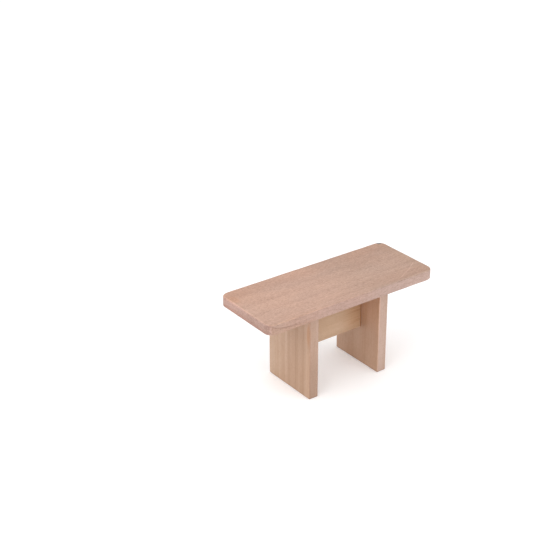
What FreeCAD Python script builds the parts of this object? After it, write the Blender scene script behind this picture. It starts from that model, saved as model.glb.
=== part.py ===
import FreeCAD, Part
import math
import os

# Miniature dining table for a dolls house, in millimetres and at its real size.
# The origin is on the ground under the middle of the table. +X runs along the length of
# the top, +Y across it and +Z up. The near side is -Y and the left end is -X.
# The table is four boards of one stock: a plain top with rounded corners, two upright leg
# boards set in from its ends, and a stretcher that stands on edge between the legs, tight
# under the top. Blind dowels hold the butt joints, so no fastener shows on any face.

# Driving dimensions
TABLE_LENGTH = 120.0      # top, along X
TABLE_WIDTH = 48.0        # top, along Y
TABLE_HEIGHT = 60.0       # ground to the top's upper face
STOCK = 6.4               # thickness of every board
LEG_INSET = 31.2          # end of the top to the outer face of the leg board
LEG_WIDTH = 39.0          # leg board, along Y
STRETCHER_DEPTH = 29.5    # stretcher, along Z
STRETCHER_GAP = 0.4       # open joint line left at each end of the stretcher

CORNER_RADIUS = 4.8       # rounded corners of the top, in plan
TOP_ARRIS = 0.7           # sanded edges of the top
BOARD_ARRIS = 0.5         # sanded edges of the legs and the stretcher

DOWEL_RADIUS = 1.5
DOWEL_LENGTH = 12.0
DOWEL_CHAMFER = 0.4
FLUTE_COUNT = 8           # grooves along a dowel that let the glue out
FLUTE_RADIUS = 0.3
FLUTE_DEPTH = 0.15
FACE_DEPTH = 4.0          # how far a dowel enters the face of a board
HOLE_CLEARANCE = 0.03     # glue line round a dowel
HOLE_SPARE = 0.3          # room left past each end of a dowel
LEG_DOWEL_SPACING = 24.0  # two dowels in the top of each leg board, along Y
STRETCHER_DOWEL_SPACING = 15.0  # two dowels in each end of the stretcher, along Z

# Places worked out from them
UNDERSIDE = TABLE_HEIGHT - STOCK
LEG_OUTER_X = TABLE_LENGTH / 2 - LEG_INSET
LEG_INNER_X = LEG_OUTER_X - STOCK
LEG_MIDDLE_X = LEG_OUTER_X - STOCK / 2
STRETCHER_LENGTH = 2 * (LEG_INNER_X - STRETCHER_GAP)
STRETCHER_MIDDLE_Z = UNDERSIDE - STRETCHER_DEPTH / 2

UP = FreeCAD.Vector(0, 0, 1)
SIDES = {"left": -1, "right": 1}
ROWS = {"near": -1, "far": 1}
LEVELS = {"lower": -1, "upper": 1}


def board(size_x, size_y, size_z, middle_x, middle_y, bottom_z):
    """A square-edged board, placed by the middle of its bottom face."""
    corner = FreeCAD.Vector(middle_x - size_x / 2, middle_y - size_y / 2, bottom_z)
    return Part.makeBox(size_x, size_y, size_z, corner)


def edges_along(shape, axis):
    """The straight edges of a shape that run along one axis."""
    found = []
    for edge in shape.Edges:
        ends = edge.Vertexes
        if len(ends) != 2 or not isinstance(edge.Curve, Part.Line):
            continue
        run = ends[1].Point - ends[0].Point
        if run.normalize().cross(axis).Length < 1e-6:
            found.append(edge)
    return found


def edges_at_height(shape, heights):
    """The edges that lie wholly in one of the given horizontal planes."""
    found = []
    for edge in shape.Edges:
        box = edge.BoundBox
        if any(abs(box.ZMin - z) < 1e-4 and abs(box.ZMax - z) < 1e-4 for z in heights):
            found.append(edge)
    return found


def drill(shape, mouth, direction, depth):
    """Drill one dowel hole that starts at mouth and runs along direction."""
    hole = Part.makeCylinder(DOWEL_RADIUS + HOLE_CLEARANCE, depth, mouth, direction)
    return shape.cut(hole)


def make_dowel(start, direction):
    """A fluted dowel with chamfered ends, from start along direction."""
    pin = Part.makeCylinder(DOWEL_RADIUS, DOWEL_LENGTH)
    rims = edges_at_height(pin, (0.0, DOWEL_LENGTH))
    pin = pin.makeChamfer(DOWEL_CHAMFER, rims)
    flute_distance = DOWEL_RADIUS + FLUTE_RADIUS - FLUTE_DEPTH
    for index in range(FLUTE_COUNT):
        angle = 2 * math.pi * (index + 0.5) / FLUTE_COUNT
        centre = FreeCAD.Vector(
            flute_distance * math.cos(angle), flute_distance * math.sin(angle), -1.0
        )
        pin = pin.cut(Part.makeCylinder(FLUTE_RADIUS, DOWEL_LENGTH + 2.0, centre, UP))
    pin.Placement = FreeCAD.Placement(start, FreeCAD.Rotation(UP, direction))
    return pin


def leg_dowel_places():
    """Name, place in the joint under the top and direction of each leg-to-top dowel."""
    for side, side_sign in SIDES.items():
        for row, row_sign in ROWS.items():
            place = FreeCAD.Vector(
                side_sign * LEG_MIDDLE_X, row_sign * LEG_DOWEL_SPACING / 2, UNDERSIDE
            )
            yield side, f"{side}_leg_dowel_{row}", place, UP


def stretcher_dowel_places():
    """Name, place on the leg's inner face and outward direction of each stretcher dowel."""
    for side, side_sign in SIDES.items():
        for level, level_sign in LEVELS.items():
            height = STRETCHER_MIDDLE_Z + level_sign * STRETCHER_DOWEL_SPACING / 2
            place = FreeCAD.Vector(side_sign * LEG_INNER_X, 0, height)
            outward = FreeCAD.Vector(side_sign, 0, 0)
            yield side, f"{side}_stretcher_dowel_{level}", place, outward


def make_table_top():
    """The top: rounded corners, sanded arrises and four blind holes in its underside."""
    top = board(TABLE_LENGTH, TABLE_WIDTH, STOCK, 0, 0, UNDERSIDE)
    top = top.makeFillet(CORNER_RADIUS, edges_along(top, UP))
    top = top.makeFillet(TOP_ARRIS, edges_at_height(top, (UNDERSIDE, TABLE_HEIGHT)))
    for _, _, place, direction in leg_dowel_places():
        top = drill(top, place, direction, FACE_DEPTH + HOLE_SPARE)
    return top


def make_leg_board(side):
    """A leg board: square at the top, where it meets the underside, and sanded elsewhere."""
    middle_x = SIDES[side] * LEG_MIDDLE_X
    leg = board(STOCK, LEG_WIDTH, UNDERSIDE, middle_x, 0, 0)
    sanded = edges_along(leg, UP) + edges_at_height(leg, (0.0,))
    leg = leg.makeFillet(BOARD_ARRIS, sanded)
    end_grain_depth = DOWEL_LENGTH - FACE_DEPTH + HOLE_SPARE
    for dowel_side, _, place, direction in leg_dowel_places():
        if dowel_side == side:
            leg = drill(leg, place, direction * -1, end_grain_depth)
    for dowel_side, _, place, direction in stretcher_dowel_places():
        if dowel_side == side:
            leg = drill(leg, place, direction, FACE_DEPTH + HOLE_SPARE)
    return leg


def make_stretcher_board():
    """The stretcher, on edge, with its long edges sanded and two holes in each end."""
    bottom = UNDERSIDE - STRETCHER_DEPTH
    stretcher = board(STRETCHER_LENGTH, STOCK, STRETCHER_DEPTH, 0, 0, bottom)
    long_edges = edges_along(stretcher, FreeCAD.Vector(1, 0, 0))
    stretcher = stretcher.makeFillet(BOARD_ARRIS, long_edges)
    depth = DOWEL_LENGTH - FACE_DEPTH + HOLE_SPARE
    for _, _, place, direction in stretcher_dowel_places():
        stretcher = drill(stretcher, place, direction * -1, depth)
    return stretcher


def make_parts():
    """Every piece of the table, by name."""
    parts = {
        "table_top": make_table_top(),
        "left_leg_board": make_leg_board("left"),
        "right_leg_board": make_leg_board("right"),
        "stretcher_board": make_stretcher_board(),
    }
    for places in (leg_dowel_places(), stretcher_dowel_places()):
        for _, name, place, direction in places:
            start = place + direction * (FACE_DEPTH - DOWEL_LENGTH)
            parts[name] = make_dowel(start, direction)
    return parts


os.makedirs("parts", exist_ok=True)
for name, shape in make_parts().items():
    if not shape.isValid() or len(shape.Solids) != 1:
        raise ValueError(f"{name} is not one valid solid")
    shape.Solids[0].exportStep(f"parts/{name}.step")
    box = shape.optimalBoundingBox(True, False)
    print(f"{name}: {box.XLength:.2f} x {box.YLength:.2f} x {box.ZLength:.2f} mm")
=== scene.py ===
import math

import bmesh
import bpy
from mathutils import Matrix, Vector, noise


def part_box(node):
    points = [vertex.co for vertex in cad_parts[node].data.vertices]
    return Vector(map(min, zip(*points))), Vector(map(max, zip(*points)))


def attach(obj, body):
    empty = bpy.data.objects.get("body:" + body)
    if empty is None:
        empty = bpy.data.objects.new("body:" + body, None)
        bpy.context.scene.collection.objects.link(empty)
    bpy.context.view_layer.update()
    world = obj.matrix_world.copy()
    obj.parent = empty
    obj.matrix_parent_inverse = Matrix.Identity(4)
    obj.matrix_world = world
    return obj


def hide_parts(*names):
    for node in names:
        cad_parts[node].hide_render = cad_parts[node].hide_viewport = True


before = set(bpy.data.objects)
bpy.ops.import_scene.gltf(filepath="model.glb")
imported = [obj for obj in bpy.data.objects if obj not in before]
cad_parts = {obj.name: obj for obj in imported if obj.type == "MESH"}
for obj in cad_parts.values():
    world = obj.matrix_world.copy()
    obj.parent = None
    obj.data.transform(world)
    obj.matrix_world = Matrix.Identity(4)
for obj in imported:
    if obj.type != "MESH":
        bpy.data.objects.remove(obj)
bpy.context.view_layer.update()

# The looks of a dolls house dining table: four sanded boards of pale wood, each a mesh of its
# own with worn edges and drilled dowel holes, wood that runs through each board in 3-D, a
# pale floor, soft studio light and the camera. The boards are made in millimetres up to their
# last step, where MM turns them into the frame's metres. The floor and the lights are in metres.

MM = 0.001

# ---------------------------------------------------------------- sizes of the finish
SPACING = 0.8             # distance between the lattice lines of a board's surface
CORNER_SPACING = 0.48     # the same round the corners of the top
TOP_CORNER = 4.8          # rounded corners of the top, in plan
TOP_ARRIS = 0.7           # sanded edges of the top
BOARD_ARRIS = 0.5         # sanded edges of the legs and the stretcher
ARRIS_ANGLES = (45, 30, 15, 0)  # degrees round an arris at which lattice lines cross it
ARRIS_RUN_OUT = 1.3       # last close line beside an arris, in arris radii
ARRIS_WEAR = 0.32         # how much the sanding varies along an edge
ARRIS_WEAR_LENGTH = 8.0   # size of the worn and less worn stretches
FULL_WEAR = 0.1           # a point moved by this share of an arris counts as fully worn
SHARP_ANGLE = 32          # faces that meet at more degrees than this keep a crisp edge
UNDULATION = 0.03         # how far a sanded face dips
UNDULATION_LENGTH = 14.0  # size of the dips
GRAIN_RELIEF = 0.035      # depth of the grain's fine relief
FLAT_SOLE = 0.3           # height up to which a leg board's foot stays flat
TOUCH = 0.01              # surfaces this near the top's underside stay flat too
HOLE_RADIUS = 1.53        # hole of one dowel
PATCH_HALF = 2.2          # square of the lattice that gives way to a dowel hole
PATCH_CELLS = 6           # lattice cells along a side of that square
WALL_RINGS = 4            # rings of quads down the wall of a hole


def box_mm(node):
    """Lowest and highest corner of a CAD node, in millimetres."""
    low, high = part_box(node)
    return [round(c / MM, 3) for c in low], [round(c / MM, 3) for c in high]


# ---------------------------------------------------------------- boards
def lattice_lines(low, high, arris, corner, marks):
    """Places of the lattice lines along one axis: close over the arrises and the rounded
    corners, exact at the edges of the hole patches, and even in between."""
    stops = set()
    offsets = [arris * (1 - math.tan(math.radians(a))) for a in ARRIS_ANGLES]
    offsets.append(arris * ARRIS_RUN_OUT)
    if corner:
        offsets.append(corner)
    for offset in offsets:
        stops |= {round(low + offset, 5), round(high - offset, 5)}
    for mark in marks:
        for cell in range(PATCH_CELLS + 1):
            stops.add(round(mark - PATCH_HALF + 2 * PATCH_HALF * cell / PATCH_CELLS, 5))
    stops = sorted(stops)
    lines = [stops[0]]
    for here in stops[1:]:
        start = lines[-1]
        near_corner = corner and (here <= low + corner + 1e-6 or start >= high - corner - 1e-6)
        pitch = CORNER_SPACING if near_corner else SPACING
        parts = max(1, math.ceil((here - start) / pitch - 1e-6))
        lines += [start + (here - start) * p / parts for p in range(1, parts + 1)]
    return lines


def lattice_shell(bm, lines):
    """The surface of a box lattice as quads that face outward, as {index triple: vertex}."""
    verts = {}

    def corner(index):
        if index not in verts:
            verts[index] = bm.verts.new([lines[axis][i] for axis, i in enumerate(index)])
        return verts[index]

    for axis in range(3):
        u, v = (axis + 1) % 3, (axis + 2) % 3
        for end in (0, len(lines[axis]) - 1):
            for a in range(len(lines[u]) - 1):
                for b in range(len(lines[v]) - 1):
                    loop = []
                    for du, dv in ((0, 0), (1, 0), (1, 1), (0, 1)):
                        index = [0, 0, 0]
                        index[axis], index[u], index[v] = end, a + du, b + dv
                        loop.append(corner(tuple(index)))
                    bm.faces.new(loop if end else loop[::-1])
    return verts


def worn_arris(place):
    """Local size of a sanded edge, in nominal radii."""
    return 1 + ARRIS_WEAR * noise.noise(place / ARRIS_WEAR_LENGTH)


def rounded(core, off):
    """The point of a rounded edge or corner that a point of the square one goes to. off is
    the square point's offset from the core, as large as the edge's size on its own face."""
    if off.length < 1e-9:
        return core
    return core + off * (max(abs(c) for c in off) / off.length)


def round_box(place, low, high, arris, soft):
    """Rounds the edges of a square board. soft says, for each axis, whether its low and its
    high side have rounded edges."""
    size = arris * worn_arris(place)
    core, off = Vector(place), Vector((0, 0, 0))
    for axis in range(3):
        for side, face in ((0, low[axis]), (1, high[axis])):
            inset = abs(place[axis] - face)
            if soft[axis][side] and inset < arris + 1e-6:
                outward = 1 if side else -1
                core[axis] = face - outward * size
                off[axis] = outward * size * (1 - min(1, inset / arris))
    return rounded(core, off)


def round_slab(place, low, high, arris, corner):
    """Rounds a slab's corners in plan, and its upper and lower edges all the way round."""
    size = arris * worn_arris(place)
    half = [high[0], high[1]]
    inner = [half[0] - corner, half[1] - corner]
    inset = min(half[axis] - abs(place[axis]) for axis in (0, 1))
    top_side = place[2] > (low[2] + high[2]) / 2
    depth = high[2] - place[2] if top_side else place[2] - low[2]
    reach = inset
    if inset < arris + 1e-6 and depth < arris + 1e-6:
        off = Vector((1 - min(1, inset / arris), 1 - min(1, depth / arris))) * size
        edge = rounded(Vector((0, 0)), off)
        reach, depth = size - edge[0], size - edge[1]
    moved = Vector(place)
    moved[2] = high[2] - depth if top_side else low[2] + depth
    out = [abs(place[axis]) - inner[axis] for axis in (0, 1)]
    if min(out) > 0:
        scale = (corner - reach) / math.hypot(*out)
        for axis in (0, 1):
            moved[axis] = math.copysign(inner[axis] + out[axis] * scale, place[axis])
    elif reach != inset:
        axis = 0 if half[0] - abs(place[0]) == inset else 1
        moved[axis] = math.copysign(half[axis] - reach, place[axis])
    return moved


def drill(bm, axis, side, mark, depth, low, high):
    """Cuts a round blind hole into one face of a board, all in quads. mark is its centre."""
    u, v = (axis + 1) % 3, (axis + 2) % 3
    level = (high if side else low)[axis]
    inward = -1 if side else 1

    def offset(place):
        return place[u] - mark[u], place[v] - mark[v]

    patch = [
        f for f in bm.faces
        if abs(f.normal[axis]) > 0.9 and abs(f.calc_center_median()[axis] - level) < 0.2
        and max(map(abs, offset(f.calc_center_median()))) < PATCH_HALF
    ]

    def ring_vertex(vert, down):
        du, dv = offset(vert.co)
        reach = max(abs(du), abs(dv))
        scale = HOLE_RADIUS / PATCH_HALF * (reach / math.hypot(du, dv) if reach > 1e-6 else 1)
        place = Vector(vert.co)
        place[u], place[v] = mark[u] + du * scale, mark[v] + dv * scale
        place[axis] = level + inward * down
        return bm.verts.new(place)

    inside = set(patch)
    rim = []
    for face in patch:
        for loop in face.loops:
            if not all(f in inside for f in loop.edge.link_faces):
                rim.append((loop.vert, loop.link_loop_next.vert))
    rings = []
    for ring in range(WALL_RINGS):
        down = depth * ring / WALL_RINGS
        rings.append({vert: ring_vertex(vert, down) for vert, _ in rim})
    bottom = {vert: ring_vertex(vert, depth) for vert in {v for f in patch for v in f.verts}}
    rings.append(bottom)
    for start, end in rim:
        bm.faces.new((start, end, rings[0][end], rings[0][start]))
        for upper, lower in zip(rings, rings[1:]):
            bm.faces.new((upper[start], upper[end], lower[end], lower[start]))
    floors = [[bottom[v] for v in f.verts] for f in patch]
    bmesh.ops.delete(bm, geom=patch, context="FACES")
    for floor in floors:
        bm.faces.new(floor)
    loose = [v for v in bm.verts if not v.link_faces]
    bmesh.ops.delete(bm, geom=loose, context="VERTS")


def press_dents(bm, dents):
    """Pushes small dents into the surface. A dent is its centre, its reach and its depth."""
    for centre, reach, depth in dents:
        for vert in bm.verts:
            far = (vert.co - centre).length / reach
            if far < 1:
                vert.co -= vert.normal * depth * (1 - far * far) ** 2


def undulate(bm, verts):
    """Lets the sanded faces dip a little, always inward."""
    bm.normal_update()
    for vert in verts:
        wave = 0.5 + 0.5 * noise.noise(vert.co / UNDULATION_LENGTH + Vector((7, 3, 5)))
        vert.co -= vert.normal * UNDULATION * wave


def make_board(name, node, arris, soft, corner=0.0, holes=(), dents=(), sanded=None):
    """A board in the place of a CAD node: a quad lattice over its box, rounded at the soft
    edges, gently uneven where it is sanded, and drilled for its dowels."""
    low, high = box_mm(node)
    marks = [set(), set(), set()]
    for axis, _, mark, _ in holes:
        for other in ((axis + 1) % 3, (axis + 2) % 3):
            marks[other].add(mark[other])
    lines = [
        lattice_lines(low[a], high[a], arris, corner if a < 2 else 0, sorted(marks[a]))
        for a in range(3)
    ]
    bm = bmesh.new()
    lattice_shell(bm, lines)
    worn = bm.verts.layers.float.new("arris")
    for vert in bm.verts:
        square = vert.co.copy()
        if corner:
            vert.co = round_slab(square, low, high, arris, corner)
            vert[worn] = min(1.0, abs(square[2] - vert.co[2]) / (arris * FULL_WEAR))
        else:
            vert.co = round_box(square, low, high, arris, soft)
            vert[worn] = min(1.0, (square - vert.co).length / (arris * FULL_WEAR))
    bm.normal_update()
    free = [v for v in bm.verts if sanded is None or sanded(v.co)]
    undulate(bm, free)
    press_dents(bm, dents)
    bm.normal_update()
    for axis, side, mark, depth in holes:
        drill(bm, axis, side, mark, depth, low, high)
        bm.normal_update()
    for vert in bm.verts:
        vert.co *= MM
    bm.normal_update()
    for face in bm.faces:
        face.smooth = True
    for edge in bm.edges:
        if len(edge.link_faces) == 2 and edge.calc_face_angle() > math.radians(SHARP_ANGLE):
            edge.smooth = False
    mesh = bpy.data.meshes.new(name)
    bm.to_mesh(mesh)
    bm.free()
    piece = bpy.data.objects.new(name, mesh)
    bpy.context.scene.collection.objects.link(piece)
    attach(piece, "root")
    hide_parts(node)
    return piece


# ---------------------------------------------------------------- shader graphs
class Graph:
    """Short calls that add a material's nodes. An argument is a socket or a plain value."""

    def __init__(self, name):
        self.material = bpy.data.materials.new(name)
        self.material.use_nodes = True
        self.tree = self.material.node_tree
        self.tree.nodes.clear()

    def node(self, kind, inputs, **settings):
        """One node, with its inputs by name or number."""
        made = self.tree.nodes.new(kind)
        for key, value in settings.items():
            setattr(made, key, value)
        for key, value in inputs.items():
            if isinstance(value, bpy.types.NodeSocket):
                self.tree.links.new(value, made.inputs[key])
            elif isinstance(value, tuple) and made.inputs[key].type == "RGBA":
                made.inputs[key].default_value = (*value, 1.0)
            else:
                made.inputs[key].default_value = value
        return made

    def math(self, operation, a, b=0.0, c=0.0):
        return self.node("ShaderNodeMath", {0: a, 1: b, 2: c}, operation=operation).outputs[0]

    def total(self, *terms):
        result = terms[0]
        for term in terms[1:]:
            result = self.math("ADD", result, term)
        return result

    def product(self, *factors):
        result = factors[0]
        for factor in factors[1:]:
            result = self.math("MULTIPLY", result, factor)
        return result

    def swing(self, value, amount):
        """A 0 to 1 signal as a swing of plus or minus half of amount."""
        return self.math("MULTIPLY_ADD", value, amount, -amount / 2)

    def span(self, value, low, high, to_low=0.0, to_high=1.0, smooth=True):
        """value from low to high as to_low to to_high, held at both ends."""
        inputs = {"Value": value, "From Min": low, "From Max": high}
        inputs |= {"To Min": to_low, "To Max": to_high}
        kind = "SMOOTHSTEP" if smooth else "LINEAR"
        return self.node("ShaderNodeMapRange", inputs, interpolation_type=kind).outputs[0]

    def fall(self, value, low, high):
        """1 where value is under low, fading to 0 at high."""
        return self.span(value, low, high, 1.0, 0.0)

    def combine(self, x, y, z):
        return self.node("ShaderNodeCombineXYZ", {0: x, 1: y, 2: z}).outputs[0]

    def split(self, vector):
        return self.node("ShaderNodeSeparateXYZ", {0: vector}).outputs

    def vector(self, operation, a, b=(0.0, 0.0, 0.0)):
        return self.node("ShaderNodeVectorMath", {0: a, 1: b}, operation=operation).outputs

    def grain(self, place, sizes, detail=2.0, roughness=0.5):
        """Noise whose features have these sizes along the vector's three axes."""
        scaled = self.vector("DIVIDE", place, sizes)[0]
        inputs = {"Vector": scaled, "Scale": 1.0, "Detail": detail, "Roughness": roughness}
        return self.node("ShaderNodeTexNoise", inputs).outputs[0]

    def flecks(self, place, sizes, radius, share):
        """Spindle-shaped flecks of these sizes: 1 in the middle of a fleck, 0 between them.
        share is how many cells hold one."""
        scaled = self.vector("DIVIDE", place, sizes)[0]
        cells = self.node("ShaderNodeTexVoronoi", {"Vector": scaled, "Scale": 1.0})
        near = self.fall(cells.outputs["Distance"], radius * 0.5, radius)
        lot = self.split(cells.outputs["Color"])[0]
        return self.product(near, self.span(lot, share, share + 0.1, 1.0, 0.0, smooth=False))

    def mix(self, factor, a, b, blend="MIX"):
        made = self.node("ShaderNodeMix", {0: factor, 6: a, 7: b}, data_type="RGBA")
        made.blend_type = blend
        return made.outputs[2]

    def spot(self, place, centre, radii, edge=0.6):
        """An ellipsoid's soft mask: 1 inside, fading to 0 at its surface."""
        off = self.vector("SUBTRACT", place, centre)[0]
        far = self.vector("LENGTH", self.vector("DIVIDE", off, radii)[0])[1]
        return self.fall(far, 1 - edge, 1.0)

    def band(self, value, centre, half, edge):
        """A soft mask for value within half of centre, fading over edge."""
        far = self.math("ABSOLUTE", self.math("SUBTRACT", value, centre))
        return self.fall(far, half - edge / 2, half + edge / 2)

    def finish(self, colour, rough, height, depth, **constants):
        """The wood's surface: its colour, its roughness and the relief of its grain."""
        bump = self.node(
            "ShaderNodeBump", {"Height": height, "Distance": depth * MM, "Strength": 1.0}
        ).outputs[0]
        inputs = {"Base Color": colour, "Roughness": rough, "Normal": bump} | constants
        shader = self.node("ShaderNodeBsdfPrincipled", inputs)
        output = self.node("ShaderNodeOutputMaterial", {"Surface": shader.outputs[0]})
        output.is_active_output = True
        return self.material


# ---------------------------------------------------------------- wood
# The sizes of a wood's features run along the grain, across it and into the board. Places of
# painted marks are in millimetres in the table's own frame. A shade multiplies red, green
# and blue where its region is 1.
class Wood:
    """A board's wood, running through it in 3-D: growth rings round a pith outside the
    board, fibres, streaks, ray flecks and pores."""

    def __init__(self, name, along, across, depth, seed, pith, ring_pitch, tones, strengths):
        self.graph = g = Graph(name)
        coordinates = g.node("ShaderNodeTexCoord", {}).outputs["Object"]
        self.place = g.vector("SCALE", coordinates)[0]
        self.place.node.inputs["Scale"].default_value = 1 / MM
        self.x, self.y, self.z = axes = g.split(self.place)
        a, b, c = axes[along], axes[across], axes[depth]
        plain = g.combine(a, b, c)
        place = g.vector("ADD", plain, seed)[0]

        sway = g.grain(place, (38.0, 16.0, 16.0), detail=1.0)
        swayed_b = g.math("ADD", b, g.swing(sway, strengths["sway"]))
        to_pith = g.vector("SUBTRACT", g.combine(0.0, swayed_b, c), (0.0, *pith))[0]
        radius = g.vector("LENGTH", to_pith)[1]
        turn = g.math("DIVIDE", radius, ring_pitch)
        uneven = g.grain(g.combine(0.0, 0.0, turn), (1.0, 1.0, 2.3), detail=1.0)
        phase = g.math("FRACT", g.math("MULTIPLY_ADD", uneven, 1.6, turn))
        late = g.product(g.span(phase, 0.15, 0.9), g.fall(phase, 0.9, 1.0))

        self.fibre = g.grain(place, (6.0, 0.3, 0.3), detail=3.0, roughness=0.6)
        streak = g.grain(place, (120.0, 3.4, 3.4), detail=3.0, roughness=0.6)
        lines = g.grain(place, (70.0, 0.8, 0.8), detail=1.0)
        mottle = g.grain(place, (24.0, 9.0, 9.0))
        cloud = g.grain(place, (34.0, 17.0, 17.0), detail=1.0)
        self.rays = g.flecks(place, (1.5, 0.34, 0.5), 0.42, 0.42)
        coarse = g.flecks(place, (3.2, 0.7, 0.8), 0.4, 0.4)
        speckle = g.grain(place, (1.5, 0.85, 0.6), detail=1.0)
        self.pores = g.flecks(place, (1.9, 0.17, 0.17), 0.42, 0.6)

        tone = g.total(
            0.5,
            g.swing(late, strengths["rings"]),
            g.swing(self.fibre, strengths["fibre"]),
            g.swing(streak, strengths["streak"]),
            g.swing(lines, strengths["lines"]),
            g.swing(mottle, strengths["mottle"]),
            g.swing(speckle, strengths["speckle"]),
        )
        tone = g.span(tone, 0.0, 1.0, smooth=False)
        self.colour = g.mix(tone, tones["light"], tones["dark"])
        self.tint(g.span(cloud, 0.42, 0.62, 0.0, 1.0), tones["cloud"])
        self.tint(g.product(self.rays, strengths["rays"]), tones["fleck"])
        self.tint(g.product(coarse, strengths["coarse"]), tones["fleck"])
        self.tint(g.product(self.pores, strengths["pores"]), tones["fleck"])

        normal = g.split(g.node("ShaderNodeNewGeometry", {}).outputs["Normal"])
        self.end_grain = g.span(g.math("ABSOLUTE", normal[along]), 0.55, 0.85)
        self.tint(self.end_grain, tones["end"])
        specks = g.span(g.grain(place, (1.2, 0.45, 1.1)), 0.48, 0.66)
        self.tint(g.product(self.end_grain, specks), tones["specks"])
        # Painted cool light: the faces across y take the edge tone, a cooler cast that stands in
        # for the cool front light on the near faces.
        self.tint(g.span(g.math("ABSOLUTE", normal[1]), 0.55, 0.85), tones["edge"])
        arris = g.node("ShaderNodeAttribute", {}, attribute_name="arris").outputs["Fac"]
        rubbed = g.grain(place, (5.0, 5.0, 5.0))
        self.rubbed = g.product(arris, g.span(rubbed, 0.35, 0.6, 0.25, 1.0))
        self.tint(self.rubbed, tones["arris"])

    def tint(self, mask, shade):
        """Multiplies the colour by shade where mask is 1."""
        self.colour = self.graph.mix(mask, self.colour, shade, "MULTIPLY")

    def spot(self, centre, radii, edge=0.6):
        return self.graph.spot(self.place, centre, radii, edge)

    def finish(self):
        g = self.graph
        height = g.total(
            g.product(self.fibre, 0.5), g.product(self.pores, -0.6), g.product(self.rays, -0.25)
        )
        rough = g.total(0.5, g.swing(self.fibre, 0.1), g.product(self.end_grain, 0.14))
        rough = g.math("MULTIPLY_ADD", self.rubbed, -0.05, rough)
        constants = {"Specular IOR Level": 0.42, "Coat Weight": 0.08, "Coat Roughness": 0.38}
        return g.finish(self.colour, rough, height, GRAIN_RELIEF, **constants)


def top_wood():
    wood = Wood(
        "top_wood", along=0, across=1, depth=2, seed=(11.0, 3.0, 5.0),
        pith=(9.0, 8.0), ring_pitch=2.1,
        tones={"light": (0.590, 0.369, 0.276), "dark": (0.430, 0.254, 0.184),
               "cloud": (0.95, 0.965, 0.98), "fleck": (0.70, 0.62, 0.55),
               "end": (0.88, 0.88, 0.95), "specks": (0.77, 0.73, 0.72),
               # Its edge tone is a painted cool cast on the near and far faces.
               "arris": (1.07, 1.07, 1.06), "edge": (0.90, 0.92, 0.99)},
        strengths={"sway": 5.0, "rings": 0.2, "fibre": 0.7, "streak": 0.4, "lines": 0.12,
                   "mottle": 0.6, "speckle": 1.3, "rays": 0.6, "coarse": 0.4, "pores": 0.45},
    )
    paint_upper_face(wood)
    paint_scratch(wood)
    paint_near_face(wood)
    paint_left_end(wood)
    paint_dark_mark(wood)
    return wood.finish()


def paint_upper_face(wood):
    """The upper face darkens to the right in a painted shade, and is warmer along its far edge
    and at both ends.
    """
    g = wood.graph
    upper = g.span(wood.z, 59.2, 59.7)
    far_right = g.product(g.span(wood.y, 2.0, 10.0), g.span(wood.x, 20.0, 30.0))
    near_right = g.product(g.span(wood.x, 10.0, 34.0), g.fall(wood.y, -18.0, -11.0))
    for region, shade in (
        # Painted shade: the upper face darker towards the right.
        (g.span(wood.x, -16.0, 24.0), (0.88, 0.905, 0.905)),
        (g.span(wood.y, 10.0, 20.0), (0.97, 0.93, 0.90)),
        (g.span(wood.x, 50.0, 56.0), (1.0, 1.0, 0.97)),
        (far_right, (0.995, 0.97, 0.955)),
        (near_right, (0.95, 0.92, 0.90)),
    ):
        wood.tint(g.product(upper, region), shade)
    wood.tint(wood.spot((-57.0, 13.5, 60.0), (3.5, 6.0, 3.0)), (1.0, 0.93, 0.86))
    wood.tint(wood.spot((-52.0, 18.0, 60.0), (26.0, 18.0, 3.0), edge=0.9), (0.96, 0.93, 0.90))


def paint_scratch(wood):
    """A fine pale scratch that curves across the right end of the upper face."""
    g = wood.graph
    run = g.math("SUBTRACT", wood.x, 35.2)
    bend = g.math("MULTIPLY", run, g.math("MULTIPLY_ADD", run, 0.0087, 0.3548))
    line = g.band(g.math("SUBTRACT", wood.y, bend), -21.3, 0.36, 0.36)
    ends = g.product(g.span(run, 0.0, 3.0), g.fall(run, 19.5, 21.5))
    wood.tint(g.product(line, ends, g.span(wood.z, 59.7, 59.9)), (1.18, 1.21, 1.25))


def paint_near_face(wood):
    """The near face is browner at its left and greyer and paler at its right. A dark line
    runs out of its left corner and down to its lower edge, and the face is browner under it."""
    g = wood.graph
    near = g.fall(wood.y, -23.4, -22.9)
    drop = g.math("EXPONENT", g.math("DIVIDE", g.math("ADD", wood.x, 56.0), -8.5))
    above = g.math("SUBTRACT", wood.z, g.math("MULTIPLY_ADD", drop, 3.0, 55.1))
    under = g.product(g.fall(above, -0.2, 0.1), g.fall(wood.x, -32.0, -24.0))
    line = g.product(g.band(above, 0.0, 0.24, 0.3), g.fall(wood.x, -50.0, -34.0))
    for region, shade in (
        (g.fall(wood.x, -42.0, -14.0), (0.95, 0.94, 0.91)),
        (g.fall(wood.x, -52.0, -42.0), (1.06, 1.08, 1.07)),
        (g.span(wood.x, -8.0, 42.0), (1.03, 1.12, 1.17)),
        (under, (0.96, 0.93, 0.89)),
        (line, (0.70, 0.65, 0.62)),
    ):
        wood.tint(g.product(near, region), shade)


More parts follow.
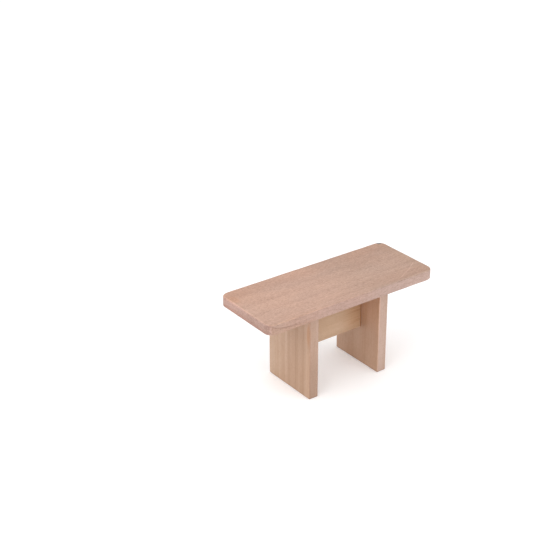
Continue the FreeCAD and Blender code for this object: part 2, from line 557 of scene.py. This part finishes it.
def paint_left_end(wood):
    """The left end is pale along its upper edge, partly rubbed and partly a painted highlight,
    browner along its lower edge, a little darker towards its near side and greyer towards its
    far side. Its dark pores show where it turns the near corner."""
    g = wood.graph
    left = g.fall(wood.x, -59.4, -59.0)
    rub_highlight = g.product(g.fall(wood.x, -59.5, -58.9), g.span(wood.z, 59.1, 59.5))
    greyer = g.product(g.span(wood.y, -1.0, 5.0), g.span(wood.z, 55.4, 56.6))
    # Partly rubbed wood and partly a painted highlight along the upper edge.
    wood.tint(rub_highlight, (1.16, 1.17, 1.18))
    for region, shade in (
        (g.fall(wood.z, 54.0, 57.2), (0.90, 0.80, 0.76)),
        (g.fall(wood.y, -9.0, -2.0), (0.93, 0.94, 0.94)),
        (greyer, (1.02, 1.04, 1.08)),
    ):
        wood.tint(g.product(left, region), shade)
    pores = g.span(g.grain(wood.place, (0.9, 0.9, 1.5)), 0.46, 0.6)
    corner = wood.spot((-58.6, -22.6, 57.2), (3.4, 3.4, 4.0))
    wood.tint(g.product(pores, corner), (0.80, 0.77, 0.76))


def paint_dark_mark(wood):
    """A small, near-black mark on the upper edge of the far right corner."""
    g = wood.graph
    dark_mark = wood.spot((57.4, 22.7, 60.0), (2.0, 1.6, 1.3), edge=0.3)
    ragged = g.span(g.grain(wood.place, (0.9, 0.5, 0.5)), 0.3, 0.44, 0.7, 1.0)
    wood.tint(g.product(dark_mark, ragged), (0.07, 0.06, 0.055))


def leg_wood(side):
    left = side == "left"
    wood = Wood(
        f"leg_wood_{side}", along=2, across=1, depth=0,
        seed=(5.0, 1.0, 2.0) if left else (31.0, 17.0, 9.0),
        pith=(34.0, -52.0), ring_pitch=5.3,
        tones={"light": (0.513, 0.348, 0.251), "dark": (0.402, 0.240, 0.148),
               "cloud": (0.97, 0.96, 0.94), "fleck": (0.72, 0.64, 0.55),
               "end": (0.86, 0.84, 0.84), "specks": (0.74, 0.70, 0.68),
               "arris": (1.05, 1.05, 1.05),
               # The edge tone is painted cool light on the narrow faces, paler on the right leg.
               "edge": (0.95, 0.95, 1.02) if left else (1.05, 1.11, 1.28)},
        strengths={"sway": 1.2, "rings": 0.35 if left else 0.2, "fibre": 0.7,
                   "streak": 0.8 if left else 0.45, "lines": 0.4, "mottle": 0.55,
                   "speckle": 0.3, "rays": 0.35, "coarse": 0.2, "pores": 0.4},
    )
    (paint_left_leg if left else paint_right_leg)(wood)
    # Inside the open joint at the stretcher's end the wood is painted lighter and warmer, a
    # painted warm light in the gap's shade.
    g = wood.graph
    joint = g.product(g.band(wood.y, 0.0, 3.25, 0.2), g.span(wood.z, 24.0, 24.3))
    facing = g.fall(g.math("ABSOLUTE", wood.x), 22.45, 22.6)
    wood.tint(g.product(joint, facing), (1.2, 0.76, 0.52))
    # The edge that stands on the floor is darker and greyer.
    wood.tint(g.fall(wood.z, 0.3, 0.9), (0.84, 0.84, 0.86))
    return wood.finish()


def paint_left_leg(wood):
    """The bands and soft patches of the left leg board, as its outer face shows them, with
    an orange patch at its near edge, and its near face, darker lower down."""
    g = wood.graph
    across = g.math("ADD", wood.y, g.swing(g.grain(wood.place, (9.0, 9.0, 26.0)), 1.6))
    heart = g.product(g.band(across, -5.5, 6.9, 3.4), g.span(wood.z, 2.0, 26.0, 0.3, 1.0))
    strip = g.product(g.band(wood.y, -18.0, 1.7, 0.8), g.fall(wood.z, 30.0, 36.0))
    low = g.product(g.fall(wood.z, 10.0, 30.0), g.fall(wood.y, 3.0, 10.0))
    pale = g.product(g.fall(wood.z, 24.0, 34.0), g.span(wood.y, 7.0, 11.0))
    near_face = g.product(g.fall(wood.y, -19.4, -19.2), g.fall(wood.z, 14.0, 38.0))
    for region, shade in (
        (g.span(across, 0.4, 3.4), (1.02, 1.02, 1.02)),
        (heart, (0.93, 0.90, 0.865)),
        (g.band(across, -6.4, 0.3, 0.4), (0.88, 0.84, 0.80)),
        (g.band(across, -13.4, 0.2, 0.4), (0.93, 0.90, 0.88)),
        (wood.spot((-28.8, -18.1, 41.5), (4.0, 1.8, 10.0)), (1.0, 0.84, 0.70)),
        (strip, (1.05, 1.05, 1.06)),
        (low, (0.955, 0.935, 0.915)),
        (pale, (1.04, 1.07, 1.09)),
        (near_face, (0.855, 0.84, 0.81)),
    ):
        wood.tint(region, shade)


def paint_right_leg(wood):
    """The right leg board's inner face is a little yellower, and paler higher up."""
    g = wood.graph
    inner = g.fall(wood.x, 22.8, 23.4)
    wood.tint(inner, (1.04, 0.995, 0.97))
    wood.tint(g.product(inner, g.span(wood.z, 20.0, 38.0)), (1.16, 1.15, 1.17))


def stretcher_wood():
    wood = Wood(
        "stretcher_wood", along=0, across=2, depth=1, seed=(71.0, 13.0, 29.0),
        pith=(20.0, 30.0), ring_pitch=4.3,
        tones={"light": (0.600, 0.411, 0.276), "dark": (0.455, 0.290, 0.177),
               "cloud": (0.97, 0.95, 0.92), "fleck": (0.74, 0.66, 0.54),
               "end": (0.86, 0.84, 0.82), "specks": (0.80, 0.77, 0.76),
               "arris": (1.04, 1.04, 1.03), "edge": (1.0, 1.0, 1.0)},
        strengths={"sway": 2.0, "rings": 0.25, "fibre": 0.5, "streak": 0.6, "lines": 0.3,
                   "mottle": 0.4, "speckle": 0.2, "rays": 0.25, "coarse": 0.12, "pores": 0.35},
    )
    g = wood.graph
    # The board is painted darker along its top and paler along its bottom, a painted shade under
    #     the tabletop. Its right end is warmer, with fine dark lines along it, and the faces
    #     inside the open joints are painted darker and warmer, a painted warm shade in the gaps.
    warm = g.product(g.span(wood.x, 4.0, 21.0), g.span(wood.z, 24.0, 30.0, 0.4, 1.0))
    lines = g.span(g.grain(wood.place, (26.0, 4.0, 0.8)), 0.5, 0.66)
    end_faces = g.span(g.math("ABSOLUTE", wood.x), 21.95, 21.99)
    for region, shade in (
        # Painted shade under the tabletop: darker along the top, paler along the bottom.
        (g.span(wood.z, 40.0, 52.0), (0.95, 0.90, 0.89)),
        (g.fall(wood.z, 26.0, 36.0), (1.03, 1.05, 1.09)),
        (warm, (0.96, 0.86, 0.75)),
        (g.product(warm, lines), (0.86, 0.80, 0.74)),
        # Painted warm shade on the end faces inside the open joints.
        (end_faces, (0.90, 0.70, 0.55)),
    ):
        wood.tint(region, shade)
    return wood.finish()


def dowel_wood(name, along):
    across, depth = [axis for axis in (0, 1, 2) if axis != along]
    wood = Wood(
        name, along=along, across=across, depth=depth, seed=(3.0, 8.0, 1.0),
        pith=(12.0, 12.0), ring_pitch=1.4,
        tones={"light": (0.58, 0.38, 0.23), "dark": (0.40, 0.25, 0.14),
               "cloud": (0.96, 0.95, 0.93), "fleck": (0.66, 0.56, 0.46),
               "end": (0.78, 0.76, 0.74), "specks": (0.80, 0.77, 0.74),
               "arris": (1.0, 1.0, 1.0), "edge": (1.0, 1.0, 1.0)},
        strengths={"sway": 1.0, "rings": 0.3, "fibre": 0.6, "streak": 0.5, "lines": 0.2,
                   "mottle": 0.3, "speckle": 0.3, "rays": 0.3, "coarse": 0.1, "pores": 0.5},
    )
    return wood.finish()


# ---------------------------------------------------------------- pieces
ROUND, SQUARE = (True, True), (False, False)
LOW_ROUND = (True, False)
UNDERSIDE = box_mm("table_top")[0][2]
LEG_DOWEL_Y = 12.0            # a leg's dowels stand this far either side of the middle
STRETCHER_DOWEL_STEP = 7.5    # the stretcher's dowels lie this far above and below its middle
FACE_HOLE, END_HOLE = 4.3, 8.3    # depths of a hole in a board's face and in its end grain


def leg_dowel_marks(leg_x):
    return [(leg_x, row * LEG_DOWEL_Y, UNDERSIDE) for row in (-1, 1)]


def stretcher_dowel_marks(face_x):
    low, high = box_mm("stretcher_board")
    middle = (low[2] + high[2]) / 2
    return [(face_x, 0.0, middle + level * STRETCHER_DOWEL_STEP) for level in (-1, 1)]


def middle_x(node):
    low, high = box_mm(node)
    return (low[0] + high[0]) / 2


def make_table():
    legs = {"left": "left_leg_board", "right": "right_leg_board"}
    top_marks = [m for node in legs.values() for m in leg_dowel_marks(middle_x(node))]
    top = make_board(
        "top_plank", "table_top", TOP_ARRIS, (ROUND, ROUND, ROUND), corner=TOP_CORNER,
        holes=[(2, 0, mark, FACE_HOLE) for mark in top_marks],
        dents=[(Vector((57.7, 23.2, 60.0)), 1.6, 0.12)],
    )
    top.data.materials.append(top_wood())
    for side, node in legs.items():
        low, high = box_mm(node)
        faces_right = side == "left"
        inner_x = high[0] if faces_right else low[0]
        holes = [(2, 1, mark, END_HOLE) for mark in leg_dowel_marks(middle_x(node))]
        holes += [(0, int(faces_right), m, FACE_HOLE) for m in stretcher_dowel_marks(inner_x)]
        leg = make_board(
            f"{side}_leg_plank", node, BOARD_ARRIS, (ROUND, ROUND, LOW_ROUND), holes=holes,
            sanded=lambda place: FLAT_SOLE < place[2] < UNDERSIDE - TOUCH,
        )
        leg.data.materials.append(leg_wood(side))
    low, high = box_mm("stretcher_board")
    holes = [
        (0, end, mark, END_HOLE)
        for end, face_x in enumerate((low[0], high[0])) for mark in stretcher_dowel_marks(face_x)
    ]
    stretcher = make_board(
        "stretcher_plank", "stretcher_board", BOARD_ARRIS, (SQUARE, ROUND, ROUND), holes=holes,
        sanded=lambda place: place[2] < UNDERSIDE - TOUCH,
    )
    stretcher.data.materials.append(stretcher_wood())


def finish_dowels():
    """The dowels keep their CAD shape and get the wood of a raw dowel, along their length."""
    woods = {along: dowel_wood(f"dowel_wood_{'xyz'[along]}", along) for along in (0, 2)}
    for name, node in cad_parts.items():
        if "dowel" in name:
            node.data.materials.clear()
            node.data.materials.append(woods[0 if "stretcher" in name else 2])


# ---------------------------------------------------------------- studio
FLOOR_HALF_SIZE = 4.0     # metres


def make_floor():
    """A pale floor that glows a little, so that it stays near white beside the table."""
    mesh = bpy.data.meshes.new("floor")
    bm = bmesh.new()
    bmesh.ops.create_grid(bm, x_segments=8, y_segments=8, size=FLOOR_HALF_SIZE)
    bm.to_mesh(mesh)
    bm.free()
    floor = bpy.data.objects.new("floor", mesh)
    bpy.context.scene.collection.objects.link(floor)
    g = Graph("pale_floor")
    inputs = {"Base Color": (0.93, 0.93, 0.93), "Roughness": 0.9, "Specular IOR Level": 0.1,
              "Emission Color": (1.0, 1.0, 1.0), "Emission Strength": 0.15}
    shader = g.node("ShaderNodeBsdfPrincipled", inputs)
    g.node("ShaderNodeOutputMaterial", {"Surface": shader.outputs[0]})
    mesh.materials.append(g.material)


def make_softbox(name, azimuth, elevation, distance, size, power, colour=(1, 1, 1)):
    """An area light that looks at the table, placed round it as the camera is."""
    a, e = math.radians(azimuth), math.radians(elevation)
    away = Vector((math.sin(a) * math.cos(e), -math.cos(a) * math.cos(e), math.sin(e)))
    light = bpy.data.lights.new(name, "AREA")
    light.shape = "SQUARE"
    light.size = size
    light.energy = power
    light.color = colour
    lamp = bpy.data.objects.new(name, light)
    lamp.location = away * distance
    lamp.rotation_mode = "QUATERNION"
    lamp.rotation_quaternion = away.to_track_quat("Z", "Y")
    bpy.context.scene.collection.objects.link(lamp)


def make_light():
    """White surroundings, a key light on the left and a broad, slightly cool one in front."""
    world = bpy.data.worlds.new("studio")
    bpy.context.scene.world = world
    world.use_nodes = True
    background = world.node_tree.nodes["Background"]
    background.inputs["Color"].default_value = (1.0, 1.0, 1.0, 1.0)
    background.inputs["Strength"].default_value = 0.95
    make_softbox("key", azimuth=-80, elevation=45, distance=0.5, size=0.35, power=0.70)
    make_softbox("front", azimuth=15, elevation=38, distance=1.4, size=1.0, power=2.9,
                 colour=(0.97, 1.0, 1.07))
    bpy.context.scene.view_settings.view_transform = "Standard"


# The camera looks at the table from this azimuth and elevation, in degrees. Its place is
# given, in millimetres, by its distance from the middle of the table's base and how far its
# axis passes right of that point and above it.
CAMERA_AZIMUTH, CAMERA_ELEVATION, CAMERA_ROLL = -36.06, 26.45, -0.26
CAMERA_DISTANCE, CAMERA_RIGHT, CAMERA_UP = 731.0, -31.18, 57.48
CAMERA_LENS, SENSOR = 79.70, 36.0


def make_camera():
    a, e = math.radians(CAMERA_AZIMUTH), math.radians(CAMERA_ELEVATION)
    back = Vector((math.sin(a) * math.cos(e), -math.cos(a) * math.cos(e), math.sin(e)))
    right = Vector((math.cos(a), math.sin(a), 0))
    up = back.cross(right)
    data = bpy.data.cameras.new("camera")
    data.lens, data.sensor_width = CAMERA_LENS, SENSOR
    data.clip_start, data.clip_end = 0.01, 20.0
    camera = bpy.data.objects.new("camera", data)
    axes = Matrix((right, up, back)).transposed()
    roll = Matrix.Rotation(math.radians(CAMERA_ROLL), 3, "Z")
    camera.matrix_world = (axes @ roll).to_4x4()
    camera.location = (back * CAMERA_DISTANCE + right * CAMERA_RIGHT + up * CAMERA_UP) * MM
    bpy.context.scene.collection.objects.link(camera)
    bpy.context.scene.camera = camera


make_camera()
make_light()
make_floor()
make_table()
finish_dowels()
